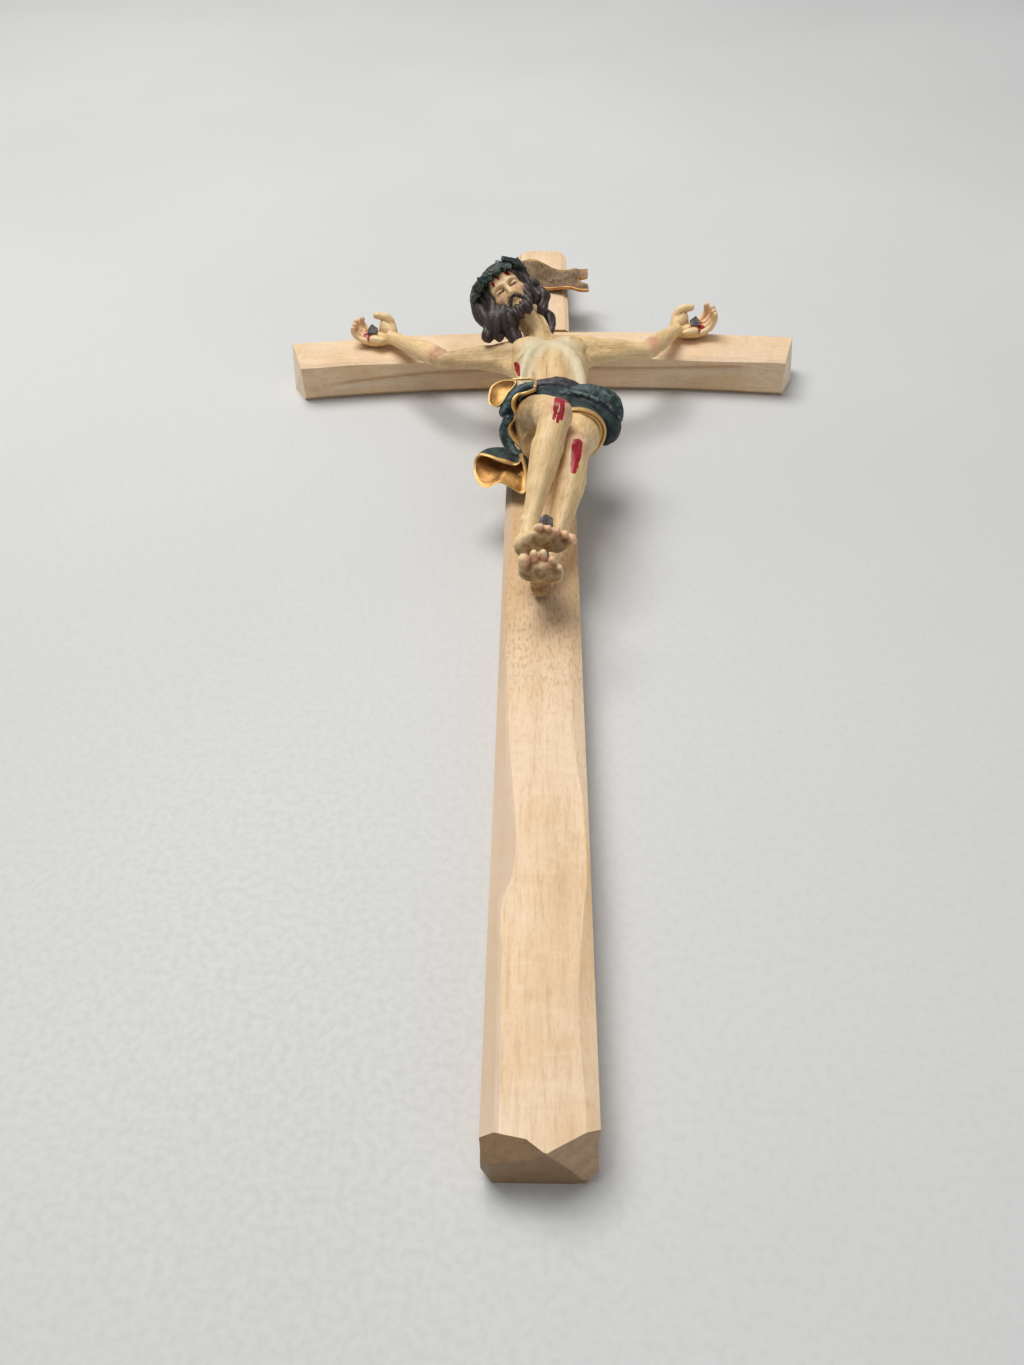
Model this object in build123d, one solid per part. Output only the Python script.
"""Carved wall crucifix: a lapped wooden cross, a painted figure in several blocks, nails and a scroll.

The cross lies on its back. X runs along the cross beam to the figure's left, Y runs up the upright and
Z points out of the front. The origin is the middle of the upright on the back face.
"""
from build123d import *
import math
import os

os.makedirs("parts", exist_ok=True)

# Cross, in millimetres
UPRIGHT_LENGTH = 250.0
UPRIGHT_WIDTH = 14.2
BEAM_DEPTH = 9.3
CROSSING_HEIGHT = 194.5  # from the foot of the upright to the middle of the cross beam
CROSS_SPAN = 125.0
CROSS_WIDTH = 14.0
CROSS_SAG = 4.7  # how far the ends of the arched cross beam lie below its middle
END_RAKE = 4.0  # how much further out the upper corner of a cross beam end reaches
LAP_DEPTH = 4.65  # front half of the crossing, taken by the cross beam
FACET_WIDTH = 2.0  # knife-cut facets along the front edges
FACET_DEPTH = 1.1
BACK_FACET = 1.2
TIP_SETBACK = 2.8  # oblique bevels that meet in the middle of each end
TIP_DROP = 5.0
HANGER_RADIUS = 2.5
HANGER_DEPTH = 5.5
HANGER_DROP = 14.0  # from the top of the upright
OVERRUN = 3.0  # how far every cut runs past the wood

# Figure, in millimetres
BODY_HEIGHT = 95.0  # the figure's height if it stood straight
FIGURE_SHIFT = 1.0  # sideways from the middle of the upright
SHOULDER_DROP = 22.0  # from the middle of the cross beam down to the shoulders
RIGHT_REACH = 41.4  # from the middle of the upright to the nail in each hand
LEFT_REACH = 37.8
RIGHT_HAND_RISE = 1.9  # from the middle line of the cross beam up to the nail in each hand
LEFT_HAND_RISE = 3.6
HEAD_SIZE_SHARE = 0.14526  # length of the head, of the figure's height
HEAD_LENGTH = HEAD_SIZE_SHARE * BODY_HEIGHT
CROWN_WIDTH_SHARE = 0.91306  # crown and thorns, of the head's length
CROWN_THICKNESS_SHARE = 0.22
THORN_SIZE_SHARE = 0.1087
THORN_LENGTH_SHARE = 0.17391
CROWN_WIDTH = CROWN_WIDTH_SHARE * HEAD_LENGTH
CROWN_THICKNESS = CROWN_THICKNESS_SHARE * HEAD_LENGTH
THORN_SIZE = THORN_SIZE_SHARE * HEAD_LENGTH
THORN_LENGTH = THORN_LENGTH_SHARE * HEAD_LENGTH
THORN_COUNT = 11
THORN_LEAN = 45.0  # degrees out of the crown's plane
DOWEL_RADIUS = 0.9
DOWEL_LENGTH = 6.0
GLUE_GAP = 0.05  # between the head and what is set over it

# Nails, pin and scroll, in millimetres
NAIL_HEAD_WIDTH = 2.6
NAIL_HEAD_HEIGHT = 2.0
NAIL_RADIUS = 0.55
NAIL_BITE = 4.5  # how deep a nail goes into its beam
HAND_NAIL_REACH = 3.4  # from the beam's front to the underside of a hand nail's head
FOOT_NAIL_REACH_SHARE = 0.139  # the same for the nail through the feet, of the figure's height
INSTEP_SHARE = (0.0, -0.7453, 0.0)  # where that nail goes into the upright
SCROLL_WIDTH = 20.5
SCROLL_HEIGHT = 11.0
SCROLL_THICKNESS = 1.1
SCROLL_CURL = 2.2
SCROLL_NOTCH = 5.0
SCROLL_RISE_SHARE = 0.595  # from the middle of the cross beam, of the upright's length above it
SCROLL_SHIFT = 2.8
SCROLL_TILT = -17.0
PIN_RADIUS = 0.5
PIN_HEAD_RADIUS = 0.9
PIN_HEAD_HEIGHT = 0.6
PIN_BITE = 4.0

# Attitude of the head, in degrees
HEAD_BOW = 46.0  # forward, from looking straight out of the front
HEAD_ROLL = 35.0  # towards the right shoulder

X_DIR = Vector(1, 0, 0)
Y_DIR = Vector(0, 1, 0)
Z_DIR = Vector(0, 0, 1)
FOOT_Y = -UPRIGHT_LENGTH / 2
HEAD_Y = UPRIGHT_LENGTH / 2
CROSSING_Y = FOOT_Y + CROSSING_HEIGHT
ARCH_RADIUS = ((CROSS_SPAN / 2) ** 2 + CROSS_SAG**2) / (2 * CROSS_SAG)
ARCH_CENTRE = Vector(0, CROSSING_Y - ARCH_RADIUS, 0)
SHOULDERS = Vector(FIGURE_SHIFT, CROSSING_Y - SHOULDER_DROP, BEAM_DEPTH)


def arch_y(x):
    """Height of the cross beam's middle line at a distance from the upright's middle."""
    return ARCH_CENTRE.Y + math.sqrt(ARCH_RADIUS**2 - x**2)


def spot(place_share):
    """A point of the figure, in shares of its height from between the shoulders on the beam's front."""
    return SHOULDERS + Vector(*place_share) * BODY_HEIGHT


def shave(piece, corner, second, third, inside):
    """Cut a piece along the plane through three points and keep the side with the fourth."""
    normal = (second - corner).cross(third - corner).normalized()
    if normal.dot(inside - corner) > 0:
        normal = -normal
    return split(piece, bisect_by=Plane(origin=corner, z_dir=normal), keep=Keep.BOTTOM)


def limb(stations, side=X_DIR):
    """A solid through ellipses along a line of (centre, half width, half depth) stations."""
    centres = [station[0] for station in stations]
    faces = []
    for index, (centre, across, deep) in enumerate(stations):
        before = centres[max(index - 1, 0)]
        after = centres[min(index + 1, len(centres) - 1)]
        along = (after - before).normalized()
        square = (side - along * side.dot(along)).normalized()
        faces.append(Plane(origin=centre, x_dir=square, z_dir=along) * Ellipse(across, deep))
    return loft(faces)


def body_limb(table_shares, side=X_DIR):
    """A limb whose stations are shares of the figure's height."""
    stations = []
    for place_share, across_share, deep_share in table_shares:
        stations.append((spot(place_share), across_share * BODY_HEIGHT, deep_share * BODY_HEIGHT))
    return limb(stations, side)


def ball(centre, side, front, half_sizes):
    """An egg shape with its half sizes along its side, its front and the direction square to both."""
    frame = Plane(origin=centre, x_dir=side, z_dir=side.cross(front))
    return frame * scale(Sphere(1), by=half_sizes)


def beam_outline(width):
    """Points across a beam: flat back with small facets, wider facets on the front edges."""
    half = width / 2
    return [
        (-half + BACK_FACET, 0),
        (half - BACK_FACET, 0),
        (half, BACK_FACET),
        (half, BEAM_DEPTH - FACET_DEPTH),
        (half - FACET_WIDTH, BEAM_DEPTH),
        (-half + FACET_WIDTH, BEAM_DEPTH),
        (-half, BEAM_DEPTH - FACET_DEPTH),
        (-half, BACK_FACET),
    ]


# Nails and pin
def nail(place, reach):
    """A nail with a pyramid head, driven straight into the beam behind a place on its front."""
    seat = Plane(origin=place + Z_DIR * reach)
    crown = seat.offset(NAIL_HEAD_HEIGHT)
    tip = Vertex(crown.origin.X, crown.origin.Y, crown.origin.Z)
    head = loft([seat * Rectangle(NAIL_HEAD_WIDTH, NAIL_HEAD_WIDTH), tip])
    shank = extrude(seat * Circle(NAIL_RADIUS), amount=-(reach + NAIL_BITE))
    return head + shank


right_palm = Vector(-RIGHT_REACH, arch_y(RIGHT_REACH) + RIGHT_HAND_RISE, BEAM_DEPTH)
left_palm = Vector(LEFT_REACH, arch_y(LEFT_REACH) + LEFT_HAND_RISE, BEAM_DEPTH)
instep = spot(INSTEP_SHARE)
right_hand_nail = nail(right_palm, HAND_NAIL_REACH)
left_hand_nail = nail(left_palm, HAND_NAIL_REACH)
foot_nail = nail(instep, FOOT_NAIL_REACH_SHARE * BODY_HEIGHT)


# Title scroll: a bare waved ribbon with two swallow tails, pinned to the upright's front
def scroll_line(lift):
    """Edge of the ribbon seen along its height: a trough in the middle and a curl at each end."""
    half = SCROLL_WIDTH / 2
    crest_share = 0.62
    points = [
        (-half, lift + SCROLL_CURL / 2),
        (-half * crest_share, lift + SCROLL_CURL),
        (0, lift),
        (half * crest_share, lift + SCROLL_CURL),
        (half, lift + SCROLL_CURL / 2),
    ]
    return Spline(*points, tangents=[(1, 0), (1, 0)])


def make_scroll(frame):
    """The ribbon, with its back touching the frame's plane in the middle."""
    low = scroll_line(0)
    high = scroll_line(SCROLL_THICKNESS)
    ends = [Line(low @ 0, high @ 0), Line(low @ 1, high @ 1)]
    side_plane = Plane(origin=(0, SCROLL_HEIGHT / 2, 0), x_dir=(1, 0, 0), z_dir=(0, -1, 0))
    ribbon = extrude(side_plane * make_face([low, high] + ends), amount=SCROLL_HEIGHT)
    for end in (-1, 1):
        tail = end * SCROLL_WIDTH / 2
        notch = Polygon(
            (tail - end * SCROLL_NOTCH, 0),
            (tail + end * OVERRUN, -SCROLL_HEIGHT / 3),
            (tail + end * OVERRUN, SCROLL_HEIGHT / 3),
            align=None,
        )
        ribbon -= extrude(notch, amount=SCROLL_CURL + SCROLL_THICKNESS + OVERRUN, both=True)
    return frame * ribbon


scroll_rise = SCROLL_RISE_SHARE * (HEAD_Y - CROSSING_Y)
scroll_place = Vector(SCROLL_SHIFT, CROSSING_Y + scroll_rise, BEAM_DEPTH)
scroll_frame = Plane(origin=scroll_place) * Rot(0, 0, SCROLL_TILT)
pin_seat = Plane(origin=scroll_place + Z_DIR * SCROLL_THICKNESS)
titulus_pin = extrude(pin_seat * Circle(PIN_HEAD_RADIUS), amount=PIN_HEAD_HEIGHT)
titulus_pin += extrude(pin_seat * Circle(PIN_RADIUS), amount=-(SCROLL_THICKNESS + PIN_BITE))
titulus_scroll = make_scroll(scroll_frame) - titulus_pin


# Cross beam: an arched bar with raked ends, notched from behind over the upright
def arched_bar(outline, reach_angle):
    """Turn an outline, given outwards from the arch's middle line, about the arch's centre."""
    start = math.radians(90 - reach_angle)
    outward = Vector(math.cos(start), math.sin(start), 0)
    frame = Plane(origin=ARCH_CENTRE, x_dir=outward, z_dir=outward.cross(Z_DIR))
    points = [(ARCH_RADIUS + across, height) for across, height in outline]
    face = frame * Polygon(*points, align=None)
    return revolve(face, axis=Axis(ARCH_CENTRE, Z_DIR), revolution_arc=2 * reach_angle)


half_angle = math.degrees(math.asin((CROSS_SPAN / 2 + OVERRUN) / ARCH_RADIUS))
cross_beam = arched_bar(beam_outline(CROSS_WIDTH), half_angle)
for end in (-1, 1):
    end_y = arch_y(CROSS_SPAN / 2)
    upper = Vector(end * CROSS_SPAN / 2, end_y + CROSS_WIDTH / 2, 0)
    lower = Vector(end * (CROSS_SPAN / 2 - END_RAKE), end_y - CROSS_WIDTH / 2, 0)
    cross_beam = shave(cross_beam, upper, lower, upper + Z_DIR, Vector(0, CROSSING_Y, 0))
lap_base = Plane(origin=(0, CROSSING_Y, BEAM_DEPTH - LAP_DEPTH))
lap_length = CROSS_WIDTH + 2 * OVERRUN
cross_beam -= extrude(lap_base * Rectangle(UPRIGHT_WIDTH, lap_length), amount=-BEAM_DEPTH)
cross_beam = cross_beam - right_hand_nail - left_hand_nail

# Upright: a straight bar, notched from the front for the cross beam, with bevelled ends
upright_face = Plane(origin=(0, HEAD_Y, 0), x_dir=X_DIR, z_dir=-Y_DIR)
upright_outline = Polygon(*beam_outline(UPRIGHT_WIDTH), align=None)
upright_beam = extrude(upright_face * upright_outline, amount=UPRIGHT_LENGTH)
lap_outline = [
    (-CROSS_WIDTH / 2, BEAM_DEPTH - LAP_DEPTH),
    (CROSS_WIDTH / 2, BEAM_DEPTH - LAP_DEPTH),
    (CROSS_WIDTH / 2, BEAM_DEPTH + OVERRUN),
    (-CROSS_WIDTH / 2, BEAM_DEPTH + OVERRUN),
]
upright_beam -= arched_bar(lap_outline, half_angle)
for end_y, inward in ((FOOT_Y, 1), (HEAD_Y, -1)):
    tip = Vector(0, end_y, BEAM_DEPTH)
    for side in (-1, 1):
        back = Vector(side * UPRIGHT_WIDTH / 2, end_y + inward * TIP_SETBACK, BEAM_DEPTH)
        down = Vector(side * UPRIGHT_WIDTH / 2, end_y, BEAM_DEPTH - TIP_DROP)
        upright_beam = shave(upright_beam, tip, back, down, Vector(0, 0, BEAM_DEPTH / 2))
hanger_mouth = Plane(origin=(0, HEAD_Y - HANGER_DROP, 0))
upright_beam -= extrude(hanger_mouth * Circle(HANGER_RADIUS), amount=HANGER_DEPTH)
upright_beam = upright_beam - foot_nail - titulus_pin


# Arms: each a tapering limb with an open hand, let into the shoulder
UPPER_ARM_SHARES = (
    # distance from the shoulder to the elbow, half width of the figure's height
    (0.00, 0.030),
    (0.30, 0.027),
    (0.70, 0.023),
    (1.00, 0.021),
)
FOREARM_SHARES = (
    # distance from the elbow to the wrist, half width of the figure's height
    (0.30, 0.0215),
    (0.65, 0.0185),
    (1.00, 0.0145),
)
HAND_SHARE = 0.095  # length of the hand, of the figure's height; the tables below are of that length
WRIST_SHARE = 0.55  # from the nail back to the wrist
WRIST_LIFT_SHARE = 0.32
PALM_SHARES = (
    # distance from the wrist, lift of the middle, half width, half thickness
    (-0.10, 0.32, 0.17, 0.15),
    (0.15, 0.22, 0.26, 0.17),
    (0.45, 0.17, 0.34, 0.16),
    (0.72, 0.18, 0.32, 0.14),
)
FINGER_SHARES = (
    # place across the palm, length, half width; the first is beside the thumb
    (0.25, 0.52, 0.082),
    (0.08, 0.58, 0.086),
    (-0.09, 0.54, 0.082),
    (-0.25, 0.44, 0.072),
)
FINGER_ROOT_SHARE = 0.62
FINGER_CURL_SHARES = (
    # distance along the finger of its length, lift above the wrist's line, taper
    (0.00, 0.19, 1.0),
    (0.48, 0.32, 1.0),
    (0.70, 0.54, 0.9),
    (0.62, 0.72, 0.5),
)
THUMB_SHARES = (
    # distance from the wrist, place across the palm, lift, half width
    (0.12, 0.20, 0.24, 0.130),
    (0.22, 0.42, 0.44, 0.105),
    (0.36, 0.46, 0.66, 0.100),
    (0.60, 0.40, 0.74, 0.055),
)


def hand(wrist, out, up):
    """Open hand with its back on the beam: palm, four curled fingers and a thumb bent over the palm."""
    size = HAND_SHARE * BODY_HEIGHT

    def place(along_share, across_share, lift_share):
        return wrist + (out * along_share + up * across_share + Z_DIR * lift_share) * size

    palm = []
    for along_share, lift_share, wide_share, thick_share in PALM_SHARES:
        palm.append((place(along_share, 0, lift_share), wide_share * size, thick_share * size))
    shape = limb(palm, up)
    for across_share, length_share, half_share in FINGER_SHARES:
        finger = []
        for along_share, lift_share, taper_share in FINGER_CURL_SHARES:
            reach_share = FINGER_ROOT_SHARE + along_share * length_share
            half = half_share * taper_share * size
            finger.append((place(reach_share, across_share, lift_share), half, half))
        shape += limb(finger, up)
    thumb = []
    for along_share, across_share, lift_share, half_share in THUMB_SHARES:
        thumb.append((place(along_share, across_share, lift_share), half_share * size, half_share * size))
    return shape + limb(thumb, out)


def arm(shoulder_share, elbow_share, palm, out, up):
    """Upper arm, forearm and hand from a place inside the shoulder to the nail in the palm."""
    size = HAND_SHARE * BODY_HEIGHT
    shoulder = spot(shoulder_share)
    elbow = spot(elbow_share)
    wrist = palm - out * (WRIST_SHARE * size)
    wrist_middle = wrist + Z_DIR * (WRIST_LIFT_SHARE * size)
    stations = []
    for along_share, half_share in UPPER_ARM_SHARES:
        middle = shoulder + (elbow - shoulder) * along_share
        stations.append((middle, half_share * BODY_HEIGHT, half_share * BODY_HEIGHT))
    for along_share, half_share in FOREARM_SHARES:
        middle = elbow + (wrist_middle - elbow) * along_share
        stations.append((middle, half_share * BODY_HEIGHT, half_share * BODY_HEIGHT))
    return limb(stations, Z_DIR) + hand(wrist, out, up)


RIGHT_SHOULDER_SHARE = (-0.066, -0.030, 0.098)
RIGHT_ELBOW_SHARE = (-0.258, 0.035, 0.067)
LEFT_SHOULDER_SHARE = (0.074, -0.004, 0.098)
LEFT_ELBOW_SHARE = (0.246, 0.066, 0.067)
HAND_TURN = 20.0  # how far the fingers point up from the cross beam's line, in degrees

turn = math.radians(HAND_TURN)
right_out = Vector(-math.cos(turn), math.sin(turn), 0)
right_up = Vector(math.sin(turn), math.cos(turn), 0)
left_out = Vector(math.cos(turn), math.sin(turn), 0)
left_up = Vector(-math.sin(turn), math.cos(turn), 0)


def shoulder_dowel(shoulder_share, elbow_share):
    """Dowel half in the arm and half in the trunk, along the upper arm."""
    along = (spot(elbow_share) - spot(shoulder_share)).normalized()
    seat = Plane(origin=spot(shoulder_share) - along * (DOWEL_LENGTH / 2), z_dir=along)
    return extrude(seat * Circle(DOWEL_RADIUS), amount=DOWEL_LENGTH)


right_shoulder_dowel = shoulder_dowel(RIGHT_SHOULDER_SHARE, RIGHT_ELBOW_SHARE)
left_shoulder_dowel = shoulder_dowel(LEFT_SHOULDER_SHARE, LEFT_ELBOW_SHARE)
right_arm = arm(RIGHT_SHOULDER_SHARE, RIGHT_ELBOW_SHARE, right_palm, right_out, right_up)
left_arm = arm(LEFT_SHOULDER_SHARE, LEFT_ELBOW_SHARE, left_palm, left_out, left_up)

# Trunk: torso, neck and both legs, as shares of the figure's height (place, half width, half depth)
TORSO_SHARES = (
    ((0.008, -0.379, 0.088), 0.066, 0.050),
    ((0.010, -0.295, 0.087), 0.081, 0.058),
    ((0.012, -0.216, 0.081), 0.072, 0.050),
    ((0.012, -0.147, 0.087), 0.086, 0.060),
    ((0.010, -0.079, 0.092), 0.094, 0.065),
    ((0.006, -0.016, 0.088), 0.088, 0.050),
    ((-0.001, 0.026, 0.090), 0.048, 0.042),
)
NECK_SHARES = (
    ((0.000, -0.020, 0.092), 0.042, 0.042),
    ((-0.026, 0.036, 0.128), 0.031, 0.031),
    ((-0.064, 0.074, 0.170), 0.030, 0.030),
)
RIGHT_THIGH_SHARES = (
    ((-0.026, -0.295, 0.092), 0.047, 0.047),
    ((-0.006, -0.393, 0.154), 0.044, 0.044),
    ((0.020, -0.495, 0.216), 0.034, 0.034),
)
RIGHT_SHIN_SHARES = (
    ((0.020, -0.495, 0.216), 0.034, 0.034),
    ((0.004, -0.560, 0.184), 0.032, 0.032),
    ((-0.028, -0.690, 0.115), 0.021, 0.021),
    ((-0.034, -0.740, 0.104), 0.023, 0.023),
)
LEFT_THIGH_SHARES = (
    ((0.050, -0.285, 0.086), 0.050, 0.050),
    ((0.056, -0.407, 0.120), 0.047, 0.047),
    ((0.054, -0.526, 0.154), 0.035, 0.035),
)
LEFT_SHIN_SHARES = (
    ((0.054, -0.526, 0.154), 0.035, 0.035),
    ((0.048, -0.588, 0.126), 0.031, 0.031),
    ((0.019, -0.716, 0.060), 0.021, 0.021),
    ((0.003, -0.789, 0.050), 0.022, 0.022),
)
RIGHT_FOOT_SHARES = (
    ((-0.054, -0.735, 0.082), 0.016, 0.016),
    ((-0.042, -0.744, 0.095), 0.025, 0.025),
    ((-0.020, -0.760, 0.120), 0.028, 0.024),
    ((0.004, -0.781, 0.147), 0.042, 0.017),
    ((0.020, -0.798, 0.167), 0.038, 0.011),
)
LEFT_FOOT_SHARES = (
    ((0.000, -0.780, 0.010), 0.014, 0.012),
    ((-0.003, -0.792, 0.034), 0.025, 0.024),
    ((-0.008, -0.812, 0.068), 0.028, 0.023),
    ((-0.009, -0.831, 0.106), 0.042, 0.017),
    ((-0.011, -0.850, 0.140), 0.038, 0.011),
)
KNEE_SHARE = 0.036
TOE_SHARES = (
    # place across the foot and half width, big toe first
    (0.030, 0.0115),
    (0.013, 0.0085),
    (-0.002, 0.0080),
    (-0.016, 0.0075),
    (-0.029, 0.0070),
)


def foot(table_shares, side, big_toe_side):
    """A foot from heel to toes, with a row of five round toes at its end."""
    shape = body_limb(table_shares, side)
    ball_place = spot(table_shares[-2][0])
    toe_place = spot(table_shares[-1][0])
    along = (toe_place - ball_place).normalized()
    across = (side - along * side.dot(along)).normalized()
    for across_share, half_share in TOE_SHARES:
        middle = toe_place + across * (big_toe_side * across_share * BODY_HEIGHT)
        shape += Pos(middle) * Sphere(half_share * BODY_HEIGHT)
    return shape


def leg(thigh_shares, shin_shares, foot_shares, foot_side, big_toe_side):
    """Thigh, round knee, shin and foot."""
    knee = Pos(spot(shin_shares[0][0])) * Sphere(KNEE_SHARE * BODY_HEIGHT)
    shape = body_limb(thigh_shares) + knee + body_limb(shin_shares)
    return shape + foot(foot_shares, foot_side, big_toe_side)


FOOT_TWIST = 18.0  # how far the right foot's sole is turned about its length, in degrees
twist = math.radians(FOOT_TWIST)
right_foot_side = Vector(math.cos(twist), 0, -math.sin(twist))
right_leg = leg(RIGHT_THIGH_SHARES, RIGHT_SHIN_SHARES, RIGHT_FOOT_SHARES, right_foot_side, 1)
left_leg = leg(LEFT_THIGH_SHARES, LEFT_SHIN_SHARES, LEFT_FOOT_SHARES, X_DIR, -1)
whole_trunk = body_limb(TORSO_SHARES) + body_limb(NECK_SHARES) + right_leg + left_leg
trunk = whole_trunk - right_arm - left_arm - right_shoulder_dowel - left_shoulder_dowel - foot_nail
right_arm = right_arm - right_shoulder_dowel - right_hand_nail
left_arm = left_arm - left_shoulder_dowel - left_hand_nail

# Head, hair and crown, as shares of the head's length along its side, its face and its height
bow = math.radians(HEAD_BOW)
roll = math.radians(HEAD_ROLL)
head_front = Vector(0, -math.sin(bow), math.cos(bow))
head_rise = Vector(0, math.cos(bow), math.sin(bow))
head_up = head_rise * math.cos(roll) - X_DIR * math.sin(roll)
head_side = head_front.cross(head_up).normalized()
HEAD_SHARE = (-0.089, 0.090, 0.192)
SKULL_SHARES = ((0.0, -0.05, 0.12), (0.34, 0.42, 0.38))
JAW_SHARES = ((0.0, 0.09, -0.20), (0.27, 0.30, 0.28))
NOSE_SHARES = ((0.0, 0.40, -0.06), (0.06, 0.09, 0.13))
HAIR_SHARES = ((0.0, -0.11, 0.10), (0.46, 0.46, 0.47))
BEARD_SHARES = ((0.0, 0.21, -0.36), (0.23, 0.21, 0.20))


def head_place(place_share):
    """A point of the head, in shares of its length along its side, its front and its height."""
    side_share, front_share, up_share = place_share
    shift = head_side * side_share + head_front * front_share + head_up * up_share
    return spot(HEAD_SHARE) + shift * HEAD_LENGTH


def head_ball(form_shares, gap=0):
    """An egg shape in the head's own directions, grown all round by a gap."""
    place_share, half_shares = form_shares
    sizes = tuple(half_share * HEAD_LENGTH + gap for half_share in half_shares)
    return ball(head_place(place_share), head_side, head_front, sizes)


def bare_head(gap=0):
    """Skull, jaw and nose, grown all round by a gap."""
    return head_ball(SKULL_SHARES, gap) + head_ball(JAW_SHARES, gap) + head_ball(NOSE_SHARES, gap)


head = bare_head() - whole_trunk

LOCK_SHARES = (
    # locks of hair: (place of the figure, half width) from root to end
    (((-0.143, 0.143, 0.176), 0.028), ((-0.153, 0.078, 0.158), 0.027), ((-0.134, -0.008, 0.133), 0.017)),
    (((-0.113, 0.098, 0.176), 0.030), ((-0.096, 0.028, 0.154), 0.030), ((-0.084, -0.020, 0.128), 0.017)),
    (((-0.028, 0.163, 0.171), 0.026), ((-0.002, 0.106, 0.148), 0.024), ((0.014, 0.040, 0.122), 0.012)),
)


def lock(lock_shares):
    """One hanging lock of hair."""
    rows = [(place_share, half_share, half_share) for place_share, half_share in lock_shares]
    return body_limb(rows)


FACE_CUT_SHARE = (0.0, 0.14, -0.20)  # middle of the square in front of which the hair is cut away
face_cut = Plane(origin=head_place(FACE_CUT_SHARE), x_dir=head_side, z_dir=head_front)
face_box = extrude(face_cut * Rectangle(HEAD_LENGTH, HEAD_LENGTH), HEAD_LENGTH)
hair = head_ball(HAIR_SHARES) - face_box
for lock_shares in LOCK_SHARES:
    hair += lock(lock_shares)
hair += head_ball(BEARD_SHARES)
whole_hair = hair
hair_and_beard = hair - bare_head(GLUE_GAP) - whole_trunk - right_arm

CROWN_SHARE = (0.0, -0.11, 0.23)
CROWN_LEAN = 12.0  # how far the crown's front is lifted, in degrees
lean = math.radians(CROWN_LEAN)
crown_axis = (head_up * math.cos(lean) - head_front * math.sin(lean)).normalized()
crown_frame = Plane(origin=head_place(CROWN_SHARE), x_dir=head_side, z_dir=crown_axis)
crown = crown_frame * Torus(CROWN_WIDTH / 2, CROWN_THICKNESS / 2)
for index in range(THORN_COUNT):
    spin = 360 / THORN_COUNT * index
    thorn = Pos(CROWN_WIDTH / 2, 0, 0) * Rot(0, THORN_LEAN, 0) * Box(THORN_LENGTH, THORN_SIZE, THORN_SIZE)
    crown += crown_frame * Rot(0, 0, spin) * Pos(CROWN_THICKNESS / 3, 0, CROWN_THICKNESS / 3) * thorn
crown_of_thorns = crown - whole_hair - bare_head(GLUE_GAP)

# Loincloth: a wrap around the hips with a gathered side, a flap and a hanging drape
WRAP_SHARES = (
    ((0.016, -0.440, 0.086), 0.090, 0.060),
    ((0.016, -0.375, 0.088), 0.102, 0.072),
    ((0.014, -0.310, 0.087), 0.101, 0.071),
    ((0.012, -0.262, 0.085), 0.093, 0.063),
    ((0.012, -0.238, 0.083), 0.081, 0.057),
)
GATHER_SHARES = (
    ((0.128, -0.335, 0.066), 0.020, 0.018),
    ((0.126, -0.308, 0.074), 0.041, 0.037),
    ((0.116, -0.268, 0.087), 0.055, 0.049),
    ((0.098, -0.234, 0.098), 0.046, 0.038),
    ((0.082, -0.216, 0.105), 0.027, 0.021),
)
FLAP_SHARES = (
    ((-0.056, -0.240, 0.130), 0.030, 0.012),
    ((-0.090, -0.254, 0.120), 0.036, 0.014),
    ((-0.110, -0.278, 0.112), 0.028, 0.010),
)
DRAPE_SHARES = (
    ((-0.070, -0.365, 0.078), 0.030, 0.026),
    ((-0.084, -0.428, 0.074), 0.044, 0.033),
    ((-0.096, -0.472, 0.070), 0.054, 0.032),
)
wrap = body_limb(WRAP_SHARES) + body_limb(GATHER_SHARES)
loincloth = wrap - whole_trunk
loincloth_flap = body_limb(FLAP_SHARES) - wrap - whole_trunk
loincloth_drape = body_limb(DRAPE_SHARES) - wrap - whole_trunk

NODES = {
    "upright_beam": upright_beam,
    "cross_beam": cross_beam,
    "trunk": trunk,
    "right_arm": right_arm,
    "left_arm": left_arm,
    "right_shoulder_dowel": right_shoulder_dowel,
    "left_shoulder_dowel": left_shoulder_dowel,
    "head": head,
    "hair_and_beard": hair_and_beard,
    "crown_of_thorns": crown_of_thorns,
    "loincloth": loincloth,
    "loincloth_flap": loincloth_flap,
    "loincloth_drape": loincloth_drape,
    "right_hand_nail": right_hand_nail,
    "left_hand_nail": left_hand_nail,
    "foot_nail": foot_nail,
    "titulus_scroll": titulus_scroll,
    "titulus_pin": titulus_pin,
}
for node, shape in NODES.items():
    export_step(shape, f"parts/{node}.step")
